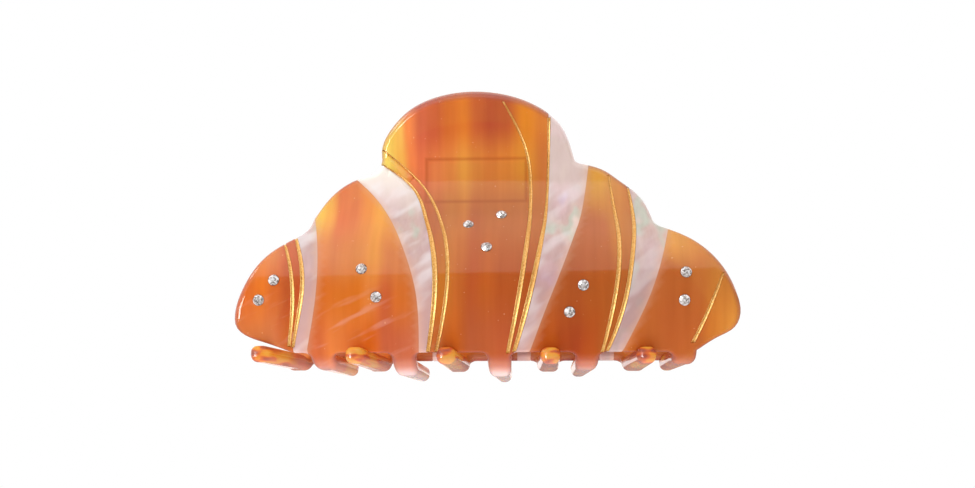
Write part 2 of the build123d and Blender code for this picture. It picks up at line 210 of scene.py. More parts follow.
def spline(knots, at):
    """Natural cubic spline of the knots' later columns over their first, read at the given places."""
    knots = np.array(sorted(knots), float)
    x, y = knots[:, 0], knots[:, 1:]
    n, h = len(x), np.diff(knots[:, 0])
    lhs, rhs = np.eye(n), np.zeros_like(y)
    for i in range(1, n - 1):
        lhs[i, i - 1 : i + 2] = h[i - 1], 2 * (h[i - 1] + h[i]), h[i]
        rhs[i] = 6 * ((y[i + 1] - y[i]) / h[i] - (y[i] - y[i - 1]) / h[i - 1])
    bend = np.linalg.solve(lhs, rhs)
    at = np.clip(np.asarray(at, float), x[0], x[-1])
    i = np.clip(np.searchsorted(x, at) - 1, 0, n - 2)
    a, b, w = (x[i + 1] - at)[:, None], (at - x[i])[:, None], h[i][:, None]
    curve = (bend[i] * a**3 + bend[i + 1] * b**3) / (6 * w)
    return curve + (y[i] / w - bend[i] * w / 6) * a + (y[i + 1] / w - bend[i + 1] * w / 6) * b


def body_outline():
    """The jaw without its teeth, as a closed loop in (x, s)."""
    parts = []
    for lobe, notch, following in zip(LOBES, (*NOTCHES, None), (*LOBES[1:], None)):
        along = np.cumsum([0, *(math.dist(p, r) for p, r in zip(lobe, lobe[1:]))])
        knots = [(t, *p) for t, p in zip(along, lobe)]
        parts.append(spline(knots, np.linspace(0, along[-1], int(along[-1] / STEP))))
        if notch:
            parts.append(bezier(lobe[-1], notch, following[0])[1:-1])
    parts.append(bezier(LOBES[-1][-1], FOOT[0], FOOT[1])[1:])
    edge = np.arange(FOOT[1][0] - STEP, FOOT[2][0], -STEP)
    parts.append(np.stack([edge, np.full_like(edge, EDGE_Z)], -1))
    parts.append(bezier(FOOT[2], FOOT[3], LOBES[0][0])[:-1])
    loop = np.concatenate(parts)
    keep = np.linalg.norm(loop - np.roll(loop, 1, 0), axis=1) > DOUBLED
    x, z = loop[keep].T
    # The lever leans out, so its inner edge is the one that reaches the drawn outline.
    lever = NECK_Z + (z - NECK_Z) * LEVER_R / (LEVER_R + LEVER_EDGE)
    return np.stack([x, s_of(np.where(z > NECK_Z, lever, z))], -1)


def inside(loop, points):
    """True for each point within the closed loop."""
    x, y = points[:, 0][:, None], points[:, 1][:, None]
    ax, ay = loop[:, 0], loop[:, 1]
    bx, by = np.roll(ax, -1), np.roll(ay, -1)
    level = np.where(by == ay, 1e-12, by - ay)
    crosses = ((ay > y) != (by > y)) & (x < (bx - ax) * (y - ay) / level + ax)
    return crosses.sum(1) % 2 == 1


def tooth_outline(x0, lean, reach, tip_half, body):
    """One tooth as a closed loop in (x, s) that reaches up into the body."""
    s_tip = S_FLAT + BEND_Q + reach
    quarter = np.linspace(0, math.pi / 2, 6)

    def down(s):
        return max(0.0, s - S_EDGE) / (s_tip - S_EDGE)

    halves = []
    for side in (-1, 1):
        flare = np.array([[x0 + side * (ROOT_HALF + ROOT_FILLET + 0.3), S_EDGE - 0.3]])
        if inside(body, flare)[0]:
            cx, cs = ROOT_HALF + ROOT_FILLET, S_EDGE + ROOT_FILLET
            root = [(cx, S_EDGE - 0.5)] + [
                (cx - ROOT_FILLET * math.sin(t), cs - ROOT_FILLET * math.cos(t)) for t in quarter
            ]
        else:
            root = [(ROOT_HALF, S_EDGE - TUCK), (ROOT_HALF, S_EDGE)]
        run = np.arange(S_EDGE + ROOT_FILLET + STEP, s_tip - TIP_CORNER - 0.4, STEP)
        sides = [(ROOT_HALF + (tip_half - ROOT_HALF) * down(s), s) for s in run]
        tip = [
            (tip_half - TIP_CORNER * (1 - math.cos(t)), s_tip - TIP_CORNER * (1 - math.sin(t)))
            for t in quarter
        ]
        halves.append([(x0 + lean * down(s) + side * w, s) for w, s in root + sides + tip])
    return np.array(halves[0] + halves[1][::-1])


def nearest(points, starts, ends):
    """Distance to, and place of, the nearest point on a set of segments, and that segment's number."""
    run = ends - starts
    length2 = (run**2).sum(1)
    best = np.full(len(points), np.inf)
    place = np.zeros_like(points)
    number = np.zeros(len(points), int)
    for lo in range(0, len(points), CHUNK):
        chunk = points[lo : lo + CHUNK]
        t = ((chunk[:, None] - starts) * run).sum(2) / length2
        foot = starts + np.clip(t, 0, 1)[..., None] * run
        gap = np.linalg.norm(chunk[:, None] - foot, axis=2)
        pick = gap.argmin(1)
        rows = np.arange(len(chunk))
        here = slice(lo, lo + CHUNK)
        best[here], place[here], number[here] = gap[rows, pick], foot[rows, pick], pick
    return best, place, number


def chain(points, edges, run, closed):
    """Add a line of points to a drawing, with the edges that join them."""
    first = len(points)
    points.extend(map(tuple, run))
    edges.extend((first + i, first + i + 1) for i in range(len(run) - 1))
    if closed:
        edges.append((first + len(run) - 1, first))


def border(triangles):
    """The edges that only one triangle has, as pairs of point numbers."""
    seen = {edge: True for tri in triangles for edge in zip(tri, np.roll(tri, -1))}
    return [(a, b) for a, b in seen if (b, a) not in seen]


def triangulate(points, edges):
    """Points and triangles of a drawing, with its edges kept."""
    made = delaunay_2d_cdt([Vector(p) for p in points], edges, [], 0, 1e-5)
    return np.array([tuple(v) for v in made[0]]), np.array([f for f in made[2] if len(f) == 3])


def along(line, s):
    """The x, and the width if it has one, of a drawn line at distances s."""
    return spline([(float(s_of(z)), x, *width) for x, z, *width in line], s)


def gold_edges(line, spread):
    """Both sides of a gold line as s, left x and right x, from its top down."""
    z = [knot[1] for knot in line]
    s = np.linspace(s_of(max(z)), s_of(min(z)), max(4, int((s_of(min(z)) - s_of(max(z))) / STEP)))
    x, width = along(line, s).T
    half = width / 2 + spread
    return s, x - half, x + half


class Jaw:
    """One jaw as a triangulated flat pattern in (x, s), with what is known at each point."""

    def __init__(self, name):
        self.name, self.side = name, -1 if name == "front" else 1
        body = body_outline()
        teeth = [
            tooth_outline(x, lean, reach, TIP_HALF[name], body)
            for (x, lean, _), reach in zip(TEETH[name], REACH)
        ]
        self.loops = [body] + teeth
        self._find_rim()
        points, edges = [], []
        for start, end in zip(self.rim_a, self.rim_b):
            chain(points, edges, [start, end], False)
        for seam in SEAMS:
            s = np.linspace(s_of(max(p[1] for p in seam)) - SEAM_OVERRUN, S_EDGE, SEAM_POINTS)
            chain(points, edges, np.stack([along(seam, s)[:, 0], s], -1), False)
        for line in GOLD_LINES:
            for spread in (0.0, GROOVE_WALL):
                s, left, right = gold_edges(line, spread)
                ends = (-spread, spread)
                s = s + np.interp(np.arange(len(s)), [0, len(s) - 1], ends)
                loop = np.concatenate([np.stack([left, s], -1), np.stack([right, s], -1)[::-1]])
                chain(points, edges, loop, True)
        self.stones = [(x, float(s_of(z))) for group in CRYSTALS for x, z in group]
        turn = np.linspace(0, 2 * math.pi, SEAT_SIDES + 1)[:-1]
        for x, s in self.stones:
            for radius in (SEAT_R, SEAT_R + SEAT_WALL):
                ring = np.stack([x + radius * np.cos(turn), s + radius * np.sin(turn)], -1)
                chain(points, edges, ring, True)
        drawn = np.array(points)
        free = [self._rim_rings(), self._grid(drawn)]
        points.extend(map(tuple, np.concatenate(free)))
        self.points, triangles = triangulate(points, edges)
        centres = self.points[triangles].mean(1)
        self.triangles = triangles[self.within(centres)]
        self.panel = self._panel_of(self.points[self.triangles].mean(1))
        self.dist, foot, _ = self.to_rim(self.points)
        away = foot - self.points
        length = np.linalg.norm(away, axis=1, keepdims=True)
        at_rim = length[:, 0] < SAME_POINT
        self.outward = np.where(at_rim[:, None], 0.0, away / np.maximum(length, 1e-9))
        self.outward[at_rim] = self._rim_normals(self.points[at_rim])
        self.cut = self._cut_depth(self.points)

    def within(self, points):
        """True for each point on the body or a tooth."""
        return np.any([inside(loop, points) for loop in self.loops], axis=0)

    def to_rim(self, points):
        """Distance to the rim, the nearest place on it, and the number of its segment there."""
        return nearest(points, self.rim_a, self.rim_b)

    def _find_rim(self):
        """The outline of the body and teeth together, as segments."""
        points, edges = [], []
        for loop in self.loops:
            chain(points, edges, loop, True)
        made, triangles = triangulate(points, edges)
        rim = np.array(border(triangles[self.within(made[triangles].mean(1))]))
        self.rim_a, self.rim_b = made[rim[:, 0]], made[rim[:, 1]]
        run = self.rim_b - self.rim_a
        normal = np.stack([run[:, 1], -run[:, 0]], -1)
        self.rim_normal = unit(normal)

    def _rim_normals(self, points):
        """Average of the outward normals of the rim segments that meet at each point."""
        gap_a = np.linalg.norm(points[:, None] - self.rim_a, axis=2)
        gap_b = np.linalg.norm(points[:, None] - self.rim_b, axis=2)
        touch = np.minimum(gap_a, gap_b) < 2 * SAME_POINT
        total = (touch[..., None] * self.rim_normal).sum(1)
        lone = np.linalg.norm(total, axis=1) < 1e-6
        if lone.any():
            total[lone] = self.rim_normal[self.to_rim(points[lone])[2]]
        return unit(total)

    def _rim_rings(self):
        """Points inside the rim at the distances where its rounding needs them."""
        middles = (self.rim_a + self.rim_b) / 2
        ends = self._rim_normals(self.rim_a)
        found = []
        for gap in RINGS:
            for base, normal in ((self.rim_a, ends), (middles, self.rim_normal)):
                ring = base - normal * gap
                clear = self.to_rim(ring)[0] > gap * RING_SHARE
                found.append(ring[clear & self.within(ring)])
        return np.concatenate(found)

    def _grid(self, drawn):
        """Evenly spread points for the rest of the surface, clear of what is drawn on it."""
        rows = np.arange(self.loops[0][:, 1].min(), S_FLAT + BEND_Q + max(REACH), GRID_ROW)
        columns = np.arange(-GRID_HALF, GRID_HALF, GRID_COLUMN)
        cells = [(x + (i % 2) * GRID_COLUMN / 2, s) for i, s in enumerate(rows) for x in columns]
        cells = np.array(cells)
        cells = cells[self.within(cells)]
        cells = cells[self.to_rim(cells)[0] > EDGE_ROUND + GRID_FROM_RIM]
        gap = np.full(len(cells), np.inf)
        for lo in range(0, len(cells), CHUNK):
            here = slice(lo, lo + CHUNK)
            gap[here] = np.linalg.norm(cells[here][:, None] - drawn, axis=2).min(1)
        return cells[gap > GRID_FROM_LINES]

    def _panel_of(self, centres):
        """Which panel or stripe each place belongs to, from 0 at the left. A tooth is all one panel's."""
        x, s = centres[:, 0].copy(), centres[:, 1].copy()
        roots = np.array(TEETH[self.name])[:, 0]
        on_tooth = s > S_EDGE
        x[on_tooth] = roots[np.abs(x[on_tooth][:, None] - roots).argmin(1)]
        s[on_tooth] = S_EDGE - 1
        return sum((x > along(seam, s)[:, 0]).astype(int) for seam in SEAMS)

    def _cut_depth(self, points):
        """How deep the grooves and crystal seats go at each point."""
        x, s = points[:, 0], points[:, 1]
        depth = np.zeros(len(points))
        slack = GROOVE_WALL / 3
        for line in GOLD_LINES:
            levels, left, right = gold_edges(line, 0.0)
            low, high = np.interp(s, levels, left), np.interp(s, levels, right)
            held = (s > levels[0] - slack) & (s < levels[-1] + slack)
            held &= (x > low - slack) & (x < high + slack)
            depth[held] = GROOVE
        for cx, cs in self.stones:
            depth[np.hypot(x - cx, s - cs) < SEAT_R + slack] = SEAT_DEPTH
        return depth

    def rounding(self, dist, radius):
        """Depth of a rounded edge at a distance in from the rim."""
        gap = np.clip(radius - dist, 0, radius)
        return radius - np.sqrt(np.maximum(radius**2 - gap**2, 0))

    def rise(self, x, s):
        """How much higher a tooth lies than the lowest one, and how fast that grows along s."""
        roots, _, rises = np.array(TEETH[self.name]).T
        share = np.clip((s - S_EDGE) / (S_FLAT - S_EDGE), 0, 1)
        most = rises[np.abs(np.asarray(x)[..., None] - roots).argmin(-1)]
        return most * share**2 * (3 - 2 * share), most * 6 * share * (1 - share) / (S_FLAT - S_EDGE)

    def place(self, x, s, depth):
        """Row-frame position in metres of points on the jaw."""
        q, z, _ = section(s, depth)
        return np.stack([x + SHIFT_X, self.side * q, z + self.rise(x, s)[0] + LIFT], -1) * MM

    def lift(self, flat, x, s):
        """Row-frame directions of (x, s, outward) vectors at points on the jaw."""
        tangent = section(s, 0.0)[2]
        tangent[:, 0] = np.minimum(tangent[:, 0], MAX_LEAN)
        tangent[:, 1] += self.rise(x, s)[1]
        tangent = unit(tangent)
        normal = np.stack([-tangent[:, 1], tangent[:, 0]], -1)
        y = flat[:, 1] * tangent[:, 0] + flat[:, 2] * normal[:, 0]
        z = flat[:, 1] * tangent[:, 1] + flat[:, 2] * normal[:, 1]
        return np.stack([flat[:, 0], self.side * y, z], -1)

    def rounded_normals(self, dist, outward, x, s, radius, face):
        """Normals of a face with a rounded edge. face is 1 outside and -1 inside."""
        lean = np.clip((radius - dist) / radius, 0, 1)
        flat = np.concatenate([outward * lean[:, None], face * np.sqrt(1 - lean**2)[:, None]], 1)
        return self.lift(flat, x, s)

    def sheet(self, index, name):
        """The closed mesh of one panel or stripe."""
        tris = self.triangles[self.panel == index]
        used = np.unique(tris)
        local = np.full(len(self.points), -1)
        local[used] = np.arange(len(used))
        tris = local[tris]
        x, s = self.points[used].T
        dist, outward, cut = self.dist[used], self.outward[used], self.cut[used]
        count = len(used)
        outer = self.place(x, s, self.rounding(dist, EDGE_ROUND) + cut)
        inner = self.place(x, s, SHEET - self.rounding(dist, INNER_ROUND))
        outer_n = self.rounded_normals(dist, outward, x, s, EDGE_ROUND, 1)
        inner_n = self.rounded_normals(dist, outward, x, s, INNER_ROUND, -1)
        wall_n = self.lift(np.concatenate([outward, np.zeros((count, 1))], 1), x, s)
        corners = np.concatenate([outer, inner])
        faces, normals = [], []

        def face(indices, ns):
            """Add a face with its corners' normals, or a flat one where there are none."""
            indices = [int(i) for i in indices][:: -self.side]
            if not ns:
                a, b, c = (corners[i] for i in indices[:3])
                flat = np.cross(b - a, c - a)
                ns = [flat / max(np.linalg.norm(flat), 1e-18)] * len(indices)
            faces.append(indices)
            normals.extend(ns[:: -self.side])

        ridge = cut[tris].max(1) > 0
        for tri, ridged in zip(tris, ridge):
            order = (tri[0], tri[2], tri[1])
            face(order, [] if ridged else [outer_n[i] for i in order])
            face([i + count for i in tri], [inner_n[i] for i in tri])
        for a, b in border(tris):
            free = dist[a] < SAME_POINT and dist[b] < SAME_POINT
            order = (a, b, b + count, a + count)
            face(order, [wall_n[i % count] for i in order] if free else [])
        piece = mesh_object(name, corners, faces)
        piece.data.normals_split_custom_set([tuple(n) for n in normals])
        off_seam = np.min([np.abs(x - along(SEAMS[i], s)[:, 0]) for i in SOFT_SEAMS], axis=0)
        down_tooth = (s - S_EDGE) / (S_FLAT + BEND_Q - S_EDGE) / TOOTH_SPAN
        shares = {
            "rim": np.tile(np.clip(1 - dist / EDGE_BAND, 0, 1), 2),
            "seam": np.tile(np.clip(1 - off_seam / EDGE_BAND, 0, 1), 2),
            "tooth": np.tile(np.clip(down_tooth, 0, 1), 2),
            "inner": np.repeat([0.0, 1.0], count),
        }
        for key, values in shares.items():
            piece.data.attributes.new(key, "FLOAT", "POINT").data.foreach_set("value", values)
        return piece


def add_object(name, data):
    piece = bpy.data.objects.new(name, data)
    bpy.context.scene.collection.objects.link(piece)
    return piece


def mesh_object(name, corners, faces, smooth=True):
    """A new object in the scene, from corners in metres."""
    mesh = bpy.data.meshes.new(name)
    mesh.from_pydata([tuple(map(float, c)) for c in corners], [], faces)
    mesh.update()
    mesh.polygons.foreach_set("use_smooth", [smooth] * len(mesh.polygons))
    return add_object(name, mesh)


def skin(name, rings):
    """A closed mesh over rings of points that run anticlockwise, seen from beyond the last ring."""
    count, sides = rings.shape[:2]
    faces = []
    for i in range(count - 1):
        for k in range(sides):
            a, b = i * sides + k, i * sides + (k + 1) % sides
            faces.append([a, b, b + sides, a + sides])
    last = (count - 1) * sides
    for k in range(sides // 2 - 1):
        end = [k, sides - 1 - k, sides - 2 - k, k + 1]
        faces += [end, [last + i for i in reversed(end)]]
    return mesh_object(name, rings.reshape(-1, 3), faces)


# ---------------------------------------------------------------- gold, crystals, spring
RIBBON_STEP, RIBBON_COLUMNS, RIBBON_GAP, RIBBON_FROM_RIM = 0.45, 7, 0.01, 0.2
HOLLOW_TOP, HOLLOW_DEPTH, HOLLOW_GRAIN = 0.03, 0.17, 0.02


def gold_ribbon(jaw, line, name, rng):
    """Gold laid in a groove: hollow across its width, and grainy."""
    s, left, right = gold_edges(line, -RIBBON_GAP)
    rows = np.linspace(s[0], s[-1], int((s[-1] - s[0]) / RIBBON_STEP))
    left, right = np.interp(rows, s, left), np.interp(rows, s, right)
    held = np.ones(len(rows), bool)
    for edge in (left, right):
        ends = np.stack([edge, rows], -1)
        held &= jaw.within(ends) & (jaw.to_rim(ends)[0] > RIBBON_FROM_RIM)
    left, right, rows = left[held], right[held], rows[held]
    across = np.linspace(0, 1, RIBBON_COLUMNS)
    x = left[:, None] + (right - left)[:, None] * across
    s = np.repeat(rows[:, None], len(across), 1)
    flat = np.stack([x.ravel(), s.ravel()], -1)
    base = jaw.rounding(np.where(jaw.within(flat), jaw.to_rim(flat)[0], 0.0), EDGE_ROUND)
    hollow = HOLLOW_TOP + HOLLOW_DEPTH * (1 - (2 * across - 1) ** 2)
    hollow = hollow + rng.uniform(-HOLLOW_GRAIN, HOLLOW_GRAIN, x.shape)
    top = jaw.place(flat[:, 0], flat[:, 1], base + hollow.ravel()).reshape(*x.shape, 3)
    under = jaw.place(flat[:, 0], flat[:, 1], base + GROOVE - RIBBON_GAP).reshape(*x.shape, 3)
    rings = np.concatenate([top, under[:, ::-1]], 1)
    return skin(name, rings[:, :: jaw.side])


STONE_R, TABLE_R, TABLE_UP, GIRDLE_UP, CUP_DOWN = 1.13, 0.58, 0.62, 0.1, 0.55
TABLE_SIDES, GIRDLE_SIDES = 8, 16


def stones(jaw, places, name):
    """Brilliant-cut crystals: an eight-sided table, sixteen girdle points, and a cup below."""
    corners, faces = [], []
    for x, z in places:
        s = float(s_of(z))
        origin = jaw.place(np.array([x]), np.array([s]), np.array([0.0]))[0]
        frame_x, frame_s, frame_n = jaw.lift(np.eye(3), np.full(3, x), np.full(3, s))
        rings = (
            (TABLE_SIDES, TABLE_R, TABLE_UP),
            (GIRDLE_SIDES, STONE_R, GIRDLE_UP),
            (GIRDLE_SIDES, STONE_R, -CUP_DOWN),
        )
        first = []
        for count, radius, up in rings:
            first.append(len(corners))
            for k in range(count):
                a = 2 * math.pi * k / count
                offset = frame_x * math.cos(a) + frame_s * math.sin(a)
                corners.append(origin + (offset * radius + frame_n * up) * MM)
        table, girdle, cup = first
        faces.append([table + k for k in range(TABLE_SIDES)])
        faces.append([cup + k for k in reversed(range(GIRDLE_SIDES))])
        for k in range(TABLE_SIDES):
            a, b = table + k, table + (k + 1) % TABLE_SIDES
            g0, g1, g2 = (girdle + (2 * k + j) % GIRDLE_SIDES for j in range(3))
            faces += [[a, g0, g1], [a, g1, b], [b, g1, g2]]
        for k in range(GIRDLE_SIDES):
            k2 = (k + 1) % GIRDLE_SIDES
            faces.append([girdle + k, cup + k, cup + k2, girdle + k2])
    # Seen from outside, the rings run clockwise on the front jaw, and the other way on its mirror image.
    if jaw.side < 0:
        faces = [f[::-1] for f in faces]
    return mesh_object(name, corners, faces, smooth=False)


HINGE = frame["joints"][0]["pos_m"]
WIRE_R, COIL_R, COIL_PITCH, COIL_TURNS = 0.42, 1.85, 1.1, 5
LEG_LENGTH, LEG_LEAN = 4.3, math.radians(17)
COIL_POINTS, LEG_POINTS, WIRE_SIDES = 190, 10, 12


def torsion_spring(name):
    """The coil round the pin with its two legs, as one tube."""
    turn = math.pi - 2 * LEG_LEAN + 2 * math.pi * COIL_TURNS
    rise = COIL_PITCH / (2 * math.pi)
    start, length = math.pi + LEG_LEAN, rise * turn
    angle = start + np.linspace(0, turn, COIL_POINTS)
    along = rise * (angle - start) - length / 2
    line = np.stack([along, COIL_R * np.cos(angle), COIL_R * np.sin(angle)], -1)
    ends = []
    for i, way in ((0, -1), (-1, 1)):
        a = angle[i]
        heading = np.array([rise, -COIL_R * math.sin(a), COIL_R * math.cos(a)])
        heading *= way * LEG_LENGTH / np.linalg.norm(heading)
        ends.append(line[i] + heading * np.linspace(1, 0.08, LEG_POINTS)[:, None])
    line = np.concatenate([ends[0], line, ends[1][::-1]])
    return tube(name, line * MM + np.array(HINGE), WIRE_R * MM, WIRE_SIDES)


def tube(name, line, radius, sides):
    """A round wire along a line, closed at both ends."""
    ahead = unit(np.gradient(line, axis=0))
    corners, side = [], np.array([1.0, 0.0, 0.0])
    for point, way in zip(line, ahead):
        side = side - way * (side @ way)
        side /= np.linalg.norm(side)
        other = np.cross(way, side)
        for k in range(sides):
            a = 2 * math.pi * k / sides
            corners.append(point + radius * (side * math.cos(a) + other * math.sin(a)))
    return skin(name, np.reshape(corners, (len(line), sides, 3)))


# ---------------------------------------------------------------- materials
BLACK, WHITE = (0, 0, 0), (255, 255, 255)


def linear(red, green, blue):
    """A colour given in 0 to 255 display values, for a shader."""
    share = [v / 255 for v in (red, green, blue)]
    return (*[v / 12.92 if v <= 0.04045 else ((v + 0.055) / 1.055) ** 2.4 for v in share], 1.0)


class Nodes:
    """A small helper that adds nodes to one node tree."""

    def __init__(self, tree, output):
        self.tree = tree
        self.tree.nodes.clear()
        self.out = self.add(output)

    def put(self, socket, value):
        """Feed a socket from another node's output, or set it to a fixed value."""
        if isinstance(value, bpy.types.NodeSocket):
            self.tree.links.new(value, socket)
        else:
            socket.default_value = value

    def add(self, kind, inputs=None, **settings):
        node = self.tree.nodes.new(kind)
        for key, value in settings.items():
            setattr(node, key, value)
        for key, value in (inputs or {}).items():
            self.put(node.inputs[key], value)
        return node

    def math(self, operation, a, b=0.0, c=0.0):
        return self.add("ShaderNodeMath", {0: a, 1: b, 2: c}, operation=operation).outputs[0]

    def times(self, a, b):
        return self.math("MULTIPLY", a, b)

    def scaled(self, value, by, plus):
        return self.math("MULTIPLY_ADD", value, by, plus)

    def span(self, value, start, end, **settings):
        """How far a value has come from start to end, kept between 0 and 1."""
        return self.add("ShaderNodeMapRange", {0: value, 1: start, 2: end}, **settings).outputs[0]

    def split(self, vector):
        return self.add("ShaderNodeSeparateXYZ", {0: vector}).outputs

    def finish(self, socket):
        self.put(self.out.inputs["Surface"], socket)


class Shader(Nodes):
    """The nodes of one material."""

    def __init__(self, name):
        self.material = bpy.data.materials.new(name)
        self.material.use_nodes = True
        super().__init__(self.material.node_tree, "ShaderNodeOutputMaterial")

    def position(self):
        """The position in millimetres, and the drawing's x, y and z."""
        place = self.add("ShaderNodeTexCoord").outputs["Object"]
        place = self.add("ShaderNodeVectorMath", {0: place, 3: 1 / MM}, operation="SCALE").outputs[0]
        origin = (SHIFT_X, 0, LIFT)
        drawn = self.add("ShaderNodeVectorMath", {0: place, 1: origin}, operation="SUBTRACT")
        return place, self.split(drawn.outputs[0])

    def attribute(self, name):
        return self.add("ShaderNodeAttribute", attribute_name=name).outputs["Fac"]

    def noise(self, vector, stretch, detail=2.0, roughness=0.5, offset=(0, 0, 0)):
        """Noise from 0 to 1 whose grains are stretch millimetres long on each axis."""
        size = tuple(1 / v for v in stretch)
        mapped = self.add("ShaderNodeMapping", {"Vector": vector, "Scale": size, "Location": offset})
        inputs = {"Vector": mapped.outputs[0], "Scale": 1.0, "Detail": detail, "Roughness": roughness}
        return self.add("ShaderNodeTexNoise", inputs).outputs["Fac"]

    def mask(self, vector, stretch, stops, low=0.0, high=1.0, **noise):
        """Noise whose values rise from 0 at the first stop to 1 at the second."""
        stops = list(zip(stops, (BLACK, WHITE)))
        return self.ramp(self.noise(vector, stretch, **noise), stops, low, high)

    def turned(self, vector, degrees):
        """The vector turned about Y, so that a noise stretched along x runs aslant."""
        turn = (0.0, math.radians(degrees), 0.0)
        return self.add("ShaderNodeMapping", {"Vector": vector, "Rotation": turn}).outputs[0]

    def ramp(self, value, stops, low=0.0, high=1.0, smooth=True):
        """A colour for each value between low and high."""
        node = self.add("ShaderNodeValToRGB", {0: self.span(value, low, high)})
        node.color_ramp.interpolation = "EASE" if smooth else "LINEAR"
        elements = node.color_ramp.elements
        while len(elements) < len(stops):
            elements.new(0.5)
        for element, (at, colour) in zip(elements, stops):
            element.position = (at - low) / (high - low)
            element.color = linear(*colour)
        return node.outputs["Color"]

    def blend(self, factor, a, b, mode="MIX"):
        node = self.add("ShaderNodeMix", data_type="RGBA", blend_type=mode)
        for number, value in ((0, factor), (6, a), (7, b)):
            self.put(node.inputs[number], value)
        return node.outputs[2]

    def tint(self, colour, share, most, shade):
        """The colour with another one laid over it, as strong as most where the share is 1."""
        shade = linear(*shade) if isinstance(shade, tuple) else shade
        return self.blend(self.times(share, most), colour, shade)

    def bump(self, height, distance_mm, strength):
        inputs = {"Height": height, "Distance": distance_mm * MM, "Strength": strength}
        return self.add("ShaderNodeBump", inputs).outputs["Normal"]

    def within(self, place, box, axes):
        """How many millimetres a place lies inside a box, by the nearest of its faces on some axes."""
        parts, depths = self.split(place), []
        for axis in axes:
            middle, half = ((box[1][axis] + side * box[0][axis]) / 2 / MM for side in (1, -1))
            off = self.math("ABSOLUTE", self.math("SUBTRACT", parts[axis], middle))
            depths.append(self.math("SUBTRACT", half, off))
        return depths[0] if len(depths) == 1 else self.math("MINIMUM", *depths)

    def surface(self, **inputs):
        """A Principled surface, with its inputs' names written with underscores."""
        names = {key.replace("_", " "): value for key, value in inputs.items()}
        return self.add("ShaderNodeBsdfPrincipled", names).outputs[0]

    def acetate(self, place, colour, rough, glow, radius):
        """Polished acetate with a slightly wavy face and light spreading under it."""
        return self.surface(
            Base_Color=colour,
            Roughness=rough,
            Normal=self.bump(self.noise(place, WAVES, detail=1.0), 0.25, 0.5),
            IOR=1.48,
            Subsurface_Weight=glow,
            Subsurface_Scale=0.002,
            Subsurface_Radius=radius,
            Coat_Weight=0.1,
            Coat_Roughness=0.03,
        )

    def finish(self, socket):
        super().finish(socket)
        return self.material


